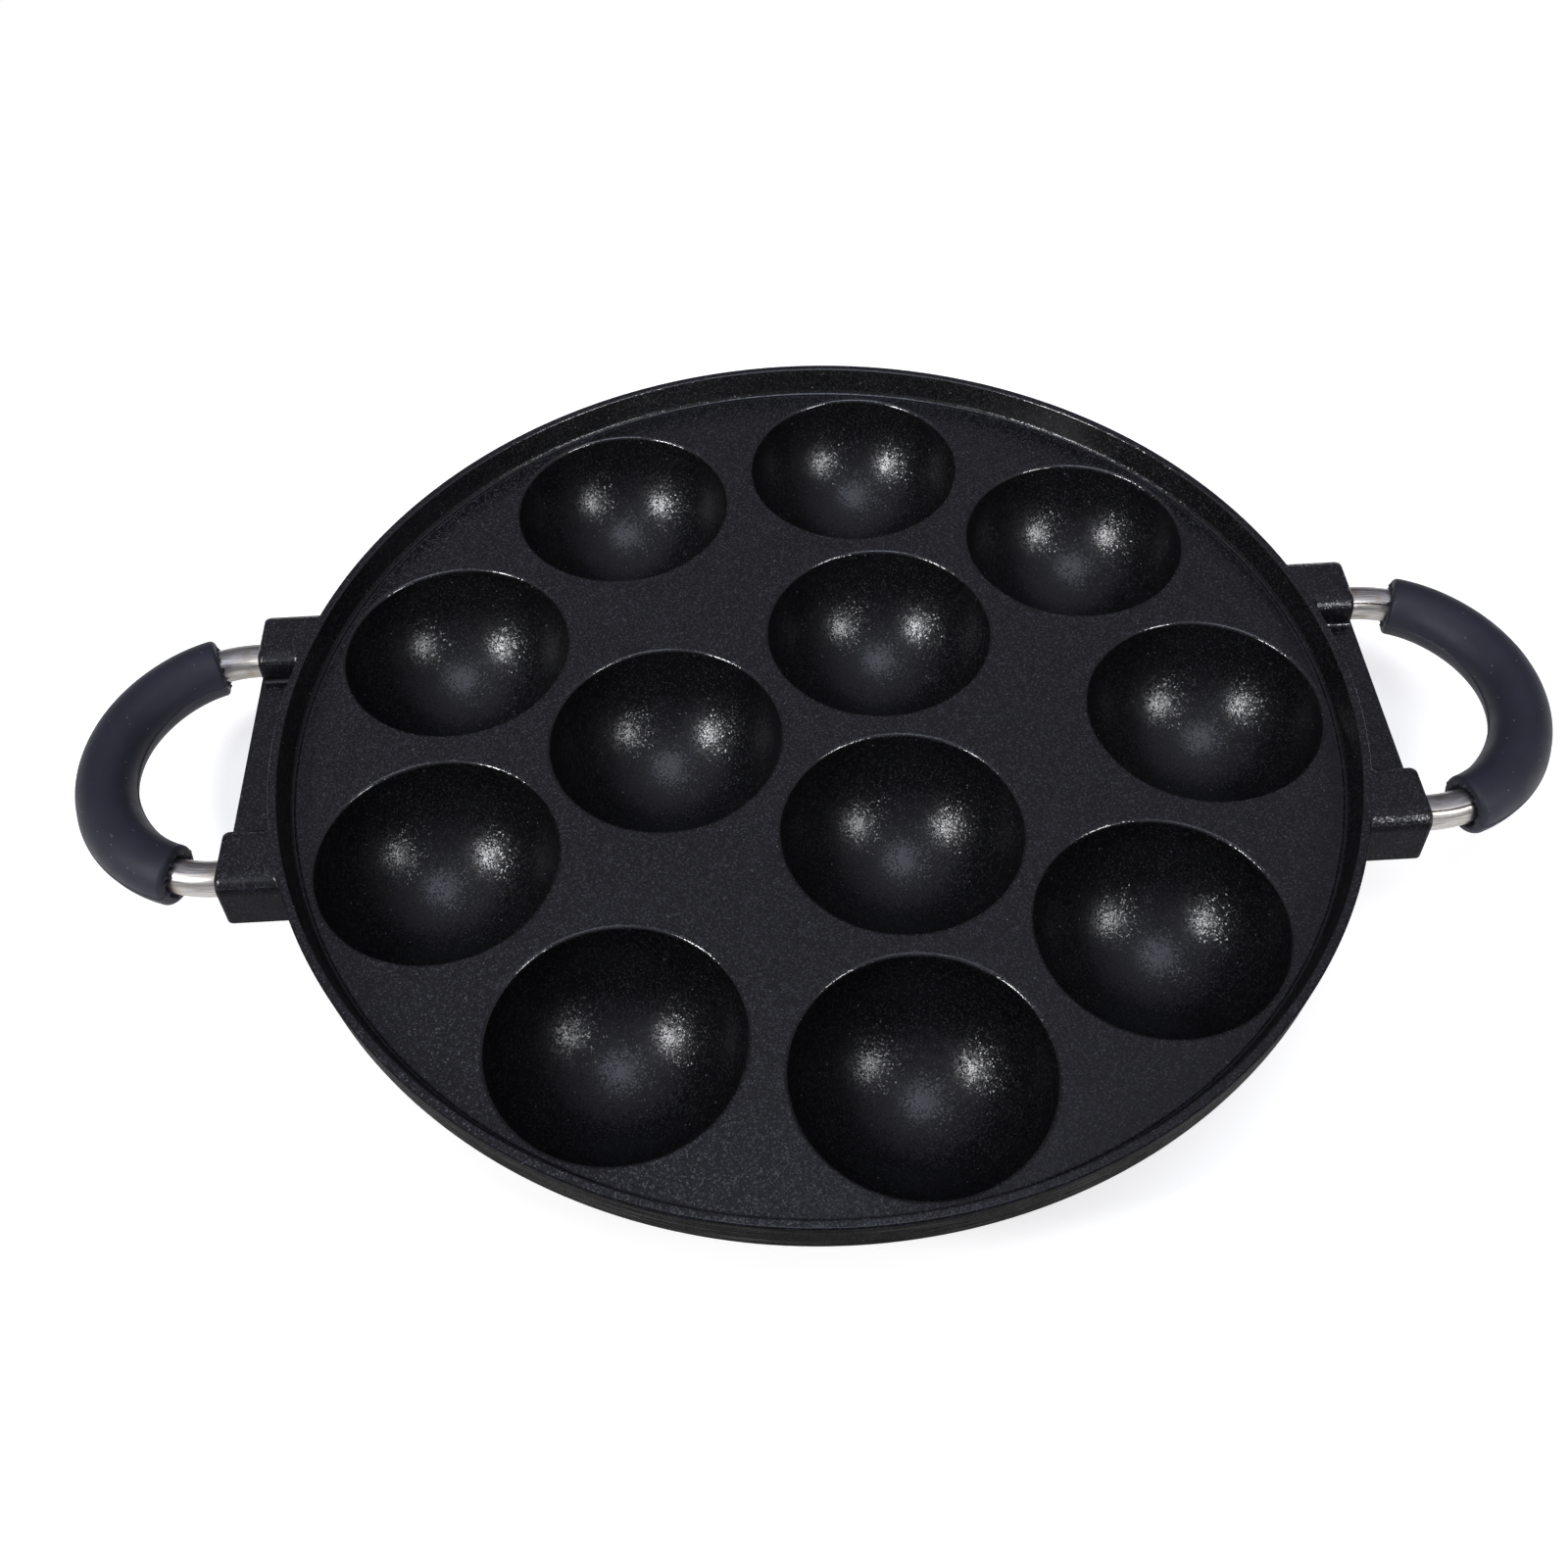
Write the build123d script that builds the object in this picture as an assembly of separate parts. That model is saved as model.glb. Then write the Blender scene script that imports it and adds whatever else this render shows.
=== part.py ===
from build123d import *
import os
from math import atan2, cos, degrees, radians, sin, sqrt, tan

# Takoyaki pan: one casting with twelve round wells inside a low rim, and on each
# side two lugs that hold a bent steel tube with a soft sleeve.
# Millimetres. The origin is on the floor under the middle of the pan, +Z up,
# +X along the handles. Everything is mirror-symmetric about the XZ plane.

# Wells, the cups that form them, and the plate between them
well_mouth_diameter = 56.4  # in the plane of the plate
well_depth = 27.8
well_edge_radius = 1.0
outer_ring_count = 9
outer_wells_apart = 6.8     # flat plate between two neighbours' rounded mouths
inner_ring_count = 3
inner_ring_turn = 60.0      # degrees from +X to the first inner well
inner_wells_apart = 3.9     # the same, from an inner well to its two outer neighbours
cup_wall = 2.6
cup_root_radius = 2.0       # hollow between a cup and the plate's underside
cup_root_bite = 15.0        # degrees at which that hollow runs into the plate
foot_diameter = 14.0        # flat ground on the bottom of each cup
plate_thickness = 3.5
plate_edge_radius = 1.0     # lower outer edge

# Rim: its diameter follows from the wells inside it
rim_apart = 0.13            # flat plate between an outer well's rounded mouth and the rim's root
rim_height = 7.3            # rim top above the plate
rim_land = 2.1              # flat width on top of the rim
rim_lean = 2.0              # how far the inner wall runs inwards on its way down
rim_root_radius = 1.8       # hollow between the plate and the inner wall
rim_edge_radius = 0.5       # both edges of the land
rim_draft = 4.0             # degrees that the outer wall leans in on its way down

# Lugs and the web between them
lug_overhang = 7.7          # lug end beyond the pan's outside, at the rim top
lug_width = 17.2            # at the top, before its long edges are rounded
lug_drop = 14.9             # from the rim top to the lug's underside
lug_end_draft = 2.0         # degrees, wider at the bottom
lug_side_draft = 1.5        # degrees, wider at the bottom
lug_edge_radius = 4.2       # long top edges
lug_corner_radius = 1.4     # round the end face
lug_heel_slope = 35.0       # degrees that the inner end leans, under the plate
web_thickness = 4.5
root_radius = 1.0           # hollows where lugs and web meet the rim

# Handle tubes
tube_diameter = 8.4
tube_wall = 1.0
tube_spacing = 67.4         # between the two straight ends of one handle
tube_drop = 1.8             # tube axis below the plate's upper face
tube_lead = 2.4             # straight run beyond the lug end
corner_bend_radius = 29.0   # bend next to each lug, on the tube axis
corner_bend_turn = 40.0     # degrees
bore_depth = 11.6           # from the lug end
bore_end_wall = 3.0         # metal behind the bore
bore_gap = 0.3              # tube end to the bottom of its bore
bore_clearance = 0.08       # on the radius

# Sleeves
sleeve_diameter = 14.8
sleeve_setback = 11.6       # bare tube between the lug and the sleeve
sleeve_clearance = 0.12     # on the radius
sleeve_edge_radius = 1.2
sleeve_mouth = 0.9          # chamfer round the tube at each end

# Slotted spring pins that hold the tubes in the lugs
pin_diameter = 3.0
pin_length = 12.4
pin_wall = 0.6
pin_slot = 0.7
pin_clearance = 0.05        # on the radius
pin_setback = 5.6           # pin axis from the lug end
pin_recess = 0.3            # pin end above the lug's underside
pin_chamfer = 0.3

# Worked out from the sizes above
mouth_radius = well_mouth_diameter / 2
well_radius = (mouth_radius ** 2 + well_depth ** 2) / (2 * well_depth)
edge_centre_drop = well_radius - well_depth + well_edge_radius
rounded_mouth_radius = sqrt((well_radius + well_edge_radius) ** 2 - edge_centre_drop ** 2)
half_pitch = radians(180 / outer_ring_count)
outer_ring_radius = (2 * rounded_mouth_radius + outer_wells_apart) / (2 * sin(half_pitch))
inner_to_outer = 2 * rounded_mouth_radius + inner_wells_apart
inner_ring_radius = outer_ring_radius * cos(half_pitch) - sqrt(
    inner_to_outer ** 2 - (outer_ring_radius * sin(half_pitch)) ** 2
)
rim_root_reach = rim_root_radius * tan(atan2(rim_height, rim_lean) / 2)
rim_foot_radius = outer_ring_radius + rounded_mouth_radius + rim_apart + rim_root_reach
pan_radius = rim_foot_radius + rim_lean + rim_land
cup_radius = well_radius + cup_wall
sphere_z = sqrt(cup_radius ** 2 - (foot_diameter / 2) ** 2)
plate_z = sphere_z + well_depth - well_radius
plate_under_z = plate_z - plate_thickness
rim_z = plate_z + rim_height
rim_inner_radius = pan_radius - rim_land
lug_under_z = rim_z - lug_drop
tube_z = plate_z - tube_drop
tube_y = tube_spacing / 2
pin_x = pan_radius + lug_overhang - pin_setback


def lug_face_x(z):
    """The lug's end face leans outwards on its way down."""
    return pan_radius + lug_overhang + (rim_z - z) * tan(radians(lug_end_draft))


def wall_radius(z):
    """The rim's outer wall leans inwards on its way down."""
    return pan_radius - (rim_z - z) * tan(radians(rim_draft))


bore_end_x = lug_face_x(tube_z) - bore_depth
lug_low_half_width = lug_width / 2 + lug_drop * tan(radians(lug_side_draft))
lug_outer_y = tube_y + lug_low_half_width
rim_behind_lug_x = sqrt(wall_radius(plate_under_z) ** 2 - lug_outer_y ** 2) - rim_land
lug_start_x = min(rim_behind_lug_x, bore_end_x - bore_end_wall)


def ring_places(radius, count, first):
    angles = [radians(first + 360 * i / count) for i in range(count)]
    return [(radius * cos(angle), radius * sin(angle)) for angle in angles]


well_places = ring_places(outer_ring_radius, outer_ring_count, 0)
well_places += ring_places(inner_ring_radius, inner_ring_count, inner_ring_turn)


def turned(*outline):
    """A full turn about +Z of a closed outline drawn as radius and height."""
    return revolve(Plane.XZ * make_face(outline), axis=Axis.Z)


def blank():
    """The disc with the rim's outer wall, before the tray is sunk into it."""
    low_radius = wall_radius(plate_under_z)
    corners = [(0, plate_under_z), (low_radius, plate_under_z), (pan_radius, rim_z), (0, rim_z)]
    return turned(FilletPolyline(*corners, radius=[0, plate_edge_radius, rim_edge_radius, 0], close=True))


def tray():
    """The space inside the rim, down to the plate."""
    top = (rim_inner_radius + rim_lean, rim_z + rim_height)
    corners = [(0, plate_z), (rim_foot_radius, plate_z), top, (0, rim_z + rim_height)]
    return turned(FilletPolyline(*corners, radius=[0, rim_root_radius, 0, 0], close=True))


def cup():
    """One cup from its ground foot to just inside the plate, hollow fillet included."""
    root_z = plate_under_z - cup_root_radius * cos(radians(cup_root_bite))
    reach = cup_radius + cup_root_radius
    root_x = sqrt(reach ** 2 - (sphere_z - root_z) ** 2)
    share = cup_radius / reach
    foot = (foot_diameter / 2, 0)
    touch = (root_x * share, sphere_z + (root_z - sphere_z) * share)
    root_top = (root_x, root_z + cup_root_radius)
    inside_z = plate_z - plate_thickness / 2
    bowl = RadiusArc(foot, touch, -cup_radius)
    root = RadiusArc(touch, root_top, cup_root_radius)
    rest = Polyline(root_top, (root_x, inside_z), (0, inside_z), (0, 0), foot)
    return turned(bowl, root, rest)


def lug():
    """The front lug on the right: its side view and its end view, crossed."""
    heel_x = lug_start_x + (plate_under_z - lug_under_z) * tan(radians(lug_heel_slope))
    face = [(lug_face_x(lug_under_z), lug_under_z), (lug_face_x(rim_z), rim_z)]
    side_view = [(heel_x, lug_under_z), *face, (lug_start_x, rim_z), (lug_start_x, plate_under_z)]
    half_top, half_low = lug_width / 2, lug_low_half_width
    end_view = [(-half_low, lug_under_z), (half_low, lug_under_z), (half_top, rim_z), (-half_top, rim_z)]
    outline = FilletPolyline(*end_view, radius=[0, 0, lug_edge_radius, lug_edge_radius], close=True)
    long_way = extrude(Plane.XZ * make_face(Polyline(*side_view, close=True)), lug_width, both=True)
    across = extrude(Plane.YZ * make_face(outline), pan_radius + lug_width + lug_overhang)
    block = long_way & across
    end_face = block.faces().sort_by(Axis.X)[-1]
    rounded = [edge for edge in end_face.edges() if edge.center().Z > lug_under_z + lug_corner_radius]
    return Pos(0, -tube_y, 0) * fillet(rounded, lug_corner_radius)


def web():
    """The flat web between the two lugs on the right."""
    low_z = plate_z - web_thickness
    start_x = wall_radius(low_z) - rim_land - rim_lean
    view = [(start_x, low_z), (lug_face_x(low_z), low_z), (lug_face_x(plate_z), plate_z), (start_x, plate_z)]
    return extrude(Plane.XZ * make_face(Polyline(*view, close=True)), tube_y - lug_edge_radius, both=True)


def both_sides(thing):
    return [thing, Rot(0, 0, 180) * thing]


def root_edges(body):
    """Where the webs' upper faces meet the rim wall and the lugs."""
    reach = lug_width / 2 + root_radius
    level = [edge for edge in body.edges() if abs(edge.center().Z - plate_z) < 0.01]
    arcs = [edge for edge in level if edge.geom_type == GeomType.CIRCLE]
    lines = [edge for edge in level if abs(edge.tangent_at(0).X) > 0.9]
    beside_lugs = [edge for edge in lines if abs(abs(edge.center().Y) - tube_y) < reach]
    return arcs + beside_lugs


def tube_bore():
    length = bore_depth + tube_diameter
    start = Plane(origin=(bore_end_x, -tube_y, tube_z), z_dir=(1, 0, 0))
    return extrude(start * Circle(tube_diameter / 2 + bore_clearance), length)


def pin_hole():
    start = Plane.XY.offset(lug_under_z - pin_recess) * Pos(pin_x, -tube_y)
    return extrude(start * Circle(pin_diameter / 2 + pin_clearance), pin_length + 3 * pin_recess)


def four_lugs(thing):
    """Copies of one thing in all four lugs."""
    return [turn * each for turn in (Pos(), Rot(0, 0, 180)) for each in (thing, mirror(thing, Plane.XZ))]


def circles(body, height, radius):
    """The body's round edges of one radius at one height."""
    rounds = body.edges().filter_by(GeomType.CIRCLE)
    return [edge for edge in rounds if abs(edge.center().Z - height) + abs(edge.radius - radius) < 0.01]


def pan_body():
    body = blank() + four_lugs(lug()) + both_sides(web())
    body = fillet(root_edges(body), root_radius)
    body += [Pos(x, y) * cup() for x, y in well_places]
    body -= tray()
    body -= [Pos(x, y, plate_z - well_depth + well_radius) * Sphere(well_radius) for x, y in well_places]
    body = fillet(circles(body, plate_z, mouth_radius), well_edge_radius)
    body = fillet(circles(body, rim_z, rim_inner_radius), rim_edge_radius)
    return body - four_lugs(tube_bore()) - four_lugs(pin_hole())


def handle_axis(setback):
    """The axis of the right-hand handle, from rear to front.

    Each end is cut off this far beyond its lug. A negative value runs into the bore.
    """
    bend_start_x = lug_face_x(tube_z) + tube_lead
    skipped = max(0, degrees((setback - tube_lead) / corner_bend_radius))
    angle = radians(90 - skipped)
    centre_y = tube_y - corner_bend_radius
    start = (bend_start_x + corner_bend_radius * cos(angle), centre_y + corner_bend_radius * sin(angle))
    heading = (sin(angle), -cos(angle))
    first = JernArc(start, heading, corner_bend_radius, skipped - corner_bend_turn)
    middle_radius = (first @ 1).Y / cos(radians(corner_bend_turn))
    middle = JernArc(first @ 1, first % 1, middle_radius, 2 * corner_bend_turn - 180)
    last = JernArc(middle @ 1, middle % 1, corner_bend_radius, skipped - corner_bend_turn)
    runs = [first, middle, last]
    if setback < tube_lead:
        end_x = lug_face_x(tube_z) + setback
        runs = [Line((end_x, tube_y), start), *runs, Line(last @ 1, (end_x, -tube_y))]
    return Pos(0, 0, tube_z) * Wire([run.edge() for run in runs])


def swept_ring(axis, outer_radius, inner_radius):
    section = Plane(origin=axis @ 0, z_dir=axis % 0) * (Circle(outer_radius) - Circle(inner_radius))
    return sweep(section, path=axis)


def handle_tube():
    radius = tube_diameter / 2
    tube = swept_ring(handle_axis(bore_gap - bore_depth), radius, radius - tube_wall)
    front_hole = pin_hole()
    return tube - [front_hole, mirror(front_hole, Plane.XZ)]


def sleeve():
    bore = tube_diameter / 2 + sleeve_clearance
    ring = swept_ring(handle_axis(sleeve_setback), sleeve_diameter / 2, bore)
    ends = ring.faces().filter_by(GeomType.PLANE)
    ring = fillet([edge for face in ends for edge in face.outer_wire().edges()], sleeve_edge_radius)
    ends = ring.faces().filter_by(GeomType.PLANE)
    mouths = [edge for face in ends for wire in face.inner_wires() for edge in wire.edges()]
    return chamfer(mouths, sleeve_mouth)


def spring_pin():
    """A rolled pin: a slotted tube with chamfered ends."""
    radius = pin_diameter / 2
    low_z = lug_under_z + pin_recess
    outline = [
        (radius - pin_wall, 0),
        (radius - pin_chamfer, 0),
        (radius, pin_chamfer),
        (radius, pin_length - pin_chamfer),
        (radius - pin_chamfer, pin_length),
        (radius - pin_wall, pin_length),
    ]
    roll = turned(Polyline(*outline, close=True)) - Pos(-pin_diameter / 2, 0, pin_length / 2) * Box(
        pin_diameter, pin_slot, pin_length
    )
    return Pos(pin_x, -tube_y, low_z) * roll


front_pin = spring_pin()
rear_pin = mirror(front_pin, Plane.XZ)
nodes = {"pan_body": pan_body()}
for side, turn in {"right": Pos(), "left": Rot(0, 0, 180)}.items():
    nodes[f"{side}_handle_tube"] = turn * handle_tube()
    nodes[f"{side}_grip_sleeve"] = turn * sleeve()
nodes["right_front_pin"] = front_pin
nodes["right_rear_pin"] = rear_pin
nodes["left_front_pin"] = Rot(0, 0, 180) * rear_pin
nodes["left_rear_pin"] = Rot(0, 0, 180) * front_pin

os.makedirs("parts", exist_ok=True)
for name, solid in nodes.items():
    export_step(solid, f"parts/{name}.step")
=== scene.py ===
from math import atan2, copysign, cos, pi, radians, sin, sqrt, tan

import bmesh
import bpy
from mathutils import Matrix, Vector


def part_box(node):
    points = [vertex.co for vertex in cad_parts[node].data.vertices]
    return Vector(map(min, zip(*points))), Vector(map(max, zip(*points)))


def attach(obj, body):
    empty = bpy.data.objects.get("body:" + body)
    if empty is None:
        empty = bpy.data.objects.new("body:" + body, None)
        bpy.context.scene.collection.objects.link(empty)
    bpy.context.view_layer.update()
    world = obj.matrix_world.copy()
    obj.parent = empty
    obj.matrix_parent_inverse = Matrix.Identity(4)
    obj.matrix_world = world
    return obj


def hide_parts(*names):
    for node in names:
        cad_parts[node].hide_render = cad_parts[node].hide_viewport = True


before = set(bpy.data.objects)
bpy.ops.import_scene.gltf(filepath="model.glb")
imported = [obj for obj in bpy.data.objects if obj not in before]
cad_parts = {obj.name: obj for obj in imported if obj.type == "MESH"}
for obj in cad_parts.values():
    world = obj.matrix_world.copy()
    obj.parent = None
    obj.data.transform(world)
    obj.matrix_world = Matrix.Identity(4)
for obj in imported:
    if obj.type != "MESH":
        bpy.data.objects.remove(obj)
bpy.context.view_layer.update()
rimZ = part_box("pan_body")[1].z          # top of the rim, the pan stands on z = 0
mm = 0.001
weldGap = 0.002 * mm
print("frame loaded, nodes:", len(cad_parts))


def spread(start, end, count):
    return [start + (end - start) * step / count for step in range(count + 1)]


def roundedPath(corners, radii, steps=5):
    # a flat path whose corners are rounded, radius 0 keeps a corner sharp
    path = []
    for index, (corner, radius) in enumerate(zip(corners, radii)):
        here = Vector(corner)
        if radius == 0:
            path.append(here)
            continue
        before = (Vector(corners[index - 1]) - here).normalized()
        after = (Vector(corners[(index + 1) % len(corners)]) - here).normalized()
        half = before.angle(after) / 2
        centre = here + (before + after).normalized() * (radius / sin(half))
        spoke = here + before * (radius / tan(half)) - centre
        turn = (pi - 2 * half) * (1 if before.cross(after) < 0 else -1)
        for step in range(steps + 1):
            path.append(centre + Matrix.Rotation(turn * step / steps, 2) @ spoke)
    return path


def spinPath(bm, path, sides, centre=(0, 0), angle=2 * pi):
    # turns a path of radius and height about a vertical axis
    points = [bm.verts.new((centre[0] + radius, centre[1], height)) for radius, height in path]
    edges = [bm.edges.new(pair) for pair in zip(points, points[1:])]
    bmesh.ops.spin(
        bm, geom=points + edges, cent=(*centre, 0), axis=(0, 0, 1), angle=angle, steps=sides,
        use_merge=angle == 2 * pi,
    )


def extrudeSection(bm, corners, shift):
    section = bm.faces.new([bm.verts.new(corner) for corner in corners])
    moved = bmesh.ops.extrude_face_region(bm, geom=[section])["geom"]
    points = [item for item in moved if isinstance(item, bmesh.types.BMVert)]
    bmesh.ops.translate(bm, verts=points, vec=shift)


def mirrorAll(bm, axes):
    for axis in axes:
        everything = bm.verts[:] + bm.edges[:] + bm.faces[:]
        bmesh.ops.mirror(bm, geom=everything, axis=axis, merge_dist=-1)


def weld(bm):
    bmesh.ops.remove_doubles(bm, verts=bm.verts, dist=weldGap)


def openEdges(bm):
    return [edge for edge in bm.edges if edge.is_boundary]


def toObject(bm, name):
    weld(bm)
    bmesh.ops.recalc_face_normals(bm, faces=bm.faces)
    mesh = bpy.data.meshes.new(name)
    bm.to_mesh(mesh)
    bm.free()
    piece = bpy.data.objects.new(name, mesh)
    bpy.context.scene.collection.objects.link(piece)
    return piece


def combine(body, tool, operation):
    modifier = body.modifiers.new("combine", "BOOLEAN")
    modifier.operation = operation
    modifier.solver = "MANIFOLD"
    modifier.object = tool
    bpy.context.view_layer.update()
    result = body.evaluated_get(bpy.context.evaluated_depsgraph_get())
    mesh = bpy.data.meshes.new_from_object(result)
    body.modifiers.clear()
    body.data = mesh
    bpy.data.objects.remove(tool)


def finishShading(piece, crease):
    # smooth all over, but sharp where two faces meet at more than the crease angle
    bm = bmesh.new()
    bm.from_mesh(piece.data)
    weld(bm)
    for face in bm.faces:
        face.smooth = True
    for edge in bm.edges:
        edge.smooth = edge.is_manifold and edge.calc_face_angle(0) < crease
    bm.to_mesh(piece.data)
    bm.free()
    weighted = piece.modifiers.new("evenShading", "WEIGHTED_NORMAL")
    weighted.keep_sharp = True
    weighted.weight = 90


casting = {
    "radius": 129.999 * mm,         # outside of the rim, at its top
    "rimHeight": 7.3 * mm,
    "land": 2.1 * mm,
    "lean": 2.0 * mm,               # the inner wall runs inwards this far on its way down
    "rimRoot": 1.8 * mm,
    "landEdge": 0.5 * mm,
    "draft": radians(4),
    "plate": 3.5 * mm,
    "lowerEdge": 1.0 * mm,
    "sides": 288,
    "rimSteps": 9,
    "crease": radians(28),
}
wells = {
    "mouthRadius": 28.2 * mm,
    "depth": 27.8 * mm,
    "edge": 1.0 * mm,
    "outerRing": (95.226 * mm, 9, 0),               # radius, number of wells, first angle
    "innerRing": (36.447 * mm, 3, radians(60)),
    "sides": 96,
    "rows": 22,
    "edgeSteps": 6,
}
cups = {
    "wall": 2.6 * mm,
    "root": 2.0 * mm,               # hollow where a cup meets the plate
    "bite": radians(15),            # how far that hollow's arc runs on into the plate
    "footRadius": 7.0 * mm,
    "sides": 72,
    "rows": 12,
    "rootSteps": 5,
}
lugs = {
    "overhang": 7.7 * mm,
    "halfWidth": 8.6 * mm,
    "drop": 14.9 * mm,
    "endDraft": radians(2),
    "sideDraft": radians(1.5),
    "longEdge": 4.2 * mm,
    "endEdge": 1.4 * mm,
    "lowEdge": 0.6 * mm,
    "heelSlope": radians(35),
    "heelStep": 0.5 * mm,
    "root": 1.0 * mm,
    "bite": 0.02 * mm,              # how far a root hollow's end dips into the wall
    "webDrop": 4.5 * mm,
    "flareSteps": 4,
    "edgeSteps": 4,
    "longEdgeSteps": 9,
    "landSteps": 3,
    "hollowSides": 64,
}
tubes = {
    "radius": 4.2 * mm,
    "wall": 1.0 * mm,
    "edge": 0.2 * mm,
    "halfSpacing": 33.7 * mm,
    "drop": 1.8 * mm,               # axis below the plate
    "lead": 2.4 * mm,
    "cornerRadius": 29.0 * mm,
    "cornerTurn": radians(40),
    "boreDepth": 11.6 * mm,
    "boreGap": 0.3 * mm,
    "boreRadius": 4.28 * mm,
    "sides": 64,
    "leadRings": 2,
    "bendRings": 90,
    "crease": radians(40),
}
pins = {"setback": 5.6 * mm, "holeRadius": 1.55 * mm, "holeDepth": 12.7 * mm, "sides": 32}

plateZ = rimZ - casting["rimHeight"]
plateUnderZ = plateZ - casting["plate"]
lugUnderZ = rimZ - lugs["drop"]
tubeZ = plateZ - tubes["drop"]
landInner = casting["radius"] - casting["land"]
wallFoot = landInner - casting["lean"]
wellRadius = (wells["mouthRadius"] ** 2 + wells["depth"] ** 2) / (2 * wells["depth"])
wellCentreZ = plateZ - wells["depth"] + wellRadius
cupRadius = wellRadius + cups["wall"]


def lugFace(z):
    return casting["radius"] + lugs["overhang"] + (rimZ - z) * tan(lugs["endDraft"])


def roundIn(z, top, radius):
    # how far a rounded top edge has drawn back at this height
    rise = z - (top - radius)
    return radius - sqrt(max(radius ** 2 - rise ** 2, 0)) if rise > 0 else 0


def wallRadius(z):
    topIn = roundIn(z, rimZ, casting["landEdge"])
    lowIn = roundIn(-z, -plateUnderZ, casting["lowerEdge"])
    return casting["radius"] - (rimZ - z) * tan(casting["draft"]) - (topIn + lowIn)


def ringPlaces(ring):
    radius, count, first = ring
    angles = [first + 2 * pi * step / count for step in range(count)]
    return [(radius * cos(angle), radius * sin(angle)) for angle in angles]


wellPlaces = ringPlaces(wells["outerRing"]) + ringPlaces(wells["innerRing"])


def blank():
    under = casting["radius"] - (rimZ - plateUnderZ) * tan(casting["draft"])
    corners = [(0, plateUnderZ), (under, plateUnderZ), (casting["radius"], rimZ), (0, rimZ)]
    path = roundedPath(corners, [0, casting["lowerEdge"], casting["landEdge"], 0])
    bm = bmesh.new()
    spinPath(bm, path, casting["sides"])
    return toObject(bm, "panCasting")


def wellPath():
    edge, steps = wells["edge"], wells["edgeSteps"]
    edgeZ = plateZ - edge
    edgeDrop = wellCentreZ - edgeZ
    edgeRadius = sqrt((wellRadius + edge) ** 2 - edgeDrop ** 2)
    sweep = atan2(edgeRadius, edgeDrop)
    bowlAngles = [sweep * row / wells["rows"] for row in range(wells["rows"] + 1)]
    edgeAngles = [sweep * (1 - step / steps) for step in range(1, steps + 1)]
    bowl = [(wellRadius * sin(turn), wellCentreZ - wellRadius * cos(turn)) for turn in bowlAngles]
    return bowl + [(edgeRadius - edge * sin(turn), edgeZ + edge * cos(turn)) for turn in edgeAngles]


def cavity():
    # the hollow above the metal: tray, wells and all their rounded edges in one closed shape
    root, edge = casting["rimRoot"], casting["landEdge"]
    above = rimZ + 3 * mm
    corners = [(0, plateZ), (wallFoot, plateZ), (landInner, rimZ)]
    corners += [(landInner + edge, rimZ), (landInner + edge, above)]
    rimPath = roundedPath(corners, [0, root, edge, 0, 0], casting["rimSteps"])[1:]
    bm = bmesh.new()
    spinPath(bm, rimPath, casting["sides"])
    for place in wellPlaces:
        spinPath(bm, wellPath(), wells["sides"], place)
    weld(bm)
    loops = openEdges(bm)
    onPlate = [link for link in loops if link.verts[0].co.z < rimZ]
    onTop = [link for link in loops if link.verts[0].co.z > rimZ]
    bmesh.ops.triangle_fill(
        bm, use_beauty=True, use_dissolve=False, edges=onPlate, normal=(0, 0, 1)
    )
    bmesh.ops.holes_fill(bm, edges=onTop)
    return toObject(bm, "trayAndWells")


def cupPath():
    root, steps = cups["root"], cups["rootSteps"]
    footAngle = atan2(cups["footRadius"], sqrt(cupRadius ** 2 - cups["footRadius"] ** 2))
    rootZ = plateUnderZ - root * cos(cups["bite"])
    rootX = sqrt((cupRadius + root) ** 2 - (wellCentreZ - rootZ) ** 2)
    touch = atan2(rootX, wellCentreZ - rootZ)
    turns = spread(footAngle, touch, cups["rows"])
    path = [(0, 0)]
    path += [(cupRadius * sin(turn), wellCentreZ - cupRadius * cos(turn)) for turn in turns]
    for step in range(1, steps + 1):
        turn = touch * (1 - step / steps)
        path.append((rootX - root * sin(turn), rootZ + root * cos(turn)))
    insideZ = plateUnderZ + casting["plate"] / 2
    return path + [(rootX, insideZ), (0, insideZ)]


def cupGroup(places):
    bm = bmesh.new()
    for place in places:
        spinPath(bm, cupPath(), cups["sides"], place)
    return toObject(bm, "cups")


def lugStartX():
    lowHalf = lugs["halfWidth"] + lugs["drop"] * tan(lugs["sideDraft"])
    outerY = tubes["halfSpacing"] + lowHalf
    wallFootRadius = wallRadius(plateUnderZ + casting["lowerEdge"])
    return sqrt(wallFootRadius ** 2 - outerY ** 2) - casting["land"]


def rootFlare(z, sideY, side):
    # beside the rim wall: a point inside the wall, then the hollow out to the lug's side
    root = lugs["root"]
    centreY = sideY + side * root
    reach = wallRadius(z) + root - lugs["bite"]
    centre = Vector((sqrt(reach ** 2 - centreY ** 2), centreY))
    first = atan2(centre.y, centre.x) + pi
    last = pi * 1.5 if side > 0 else pi / 2
    turns = spread(first, last, lugs["flareSteps"])
    inner = centre.normalized() * (wallRadius(z) - casting["land"])
    return [inner] + [centre + root * Vector((cos(turn), sin(turn))) for turn in turns]


def heelFlare(z, sideY):
    # under the plate: as many points as above, in a row that starts at the sloping heel
    heelX = lugStartX() + (plateUnderZ - z) * tan(lugs["heelSlope"])
    return [
        Vector((heelX + lugs["heelStep"] * step, sideY)) for step in range(lugs["flareSteps"] + 2)
    ]


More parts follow.
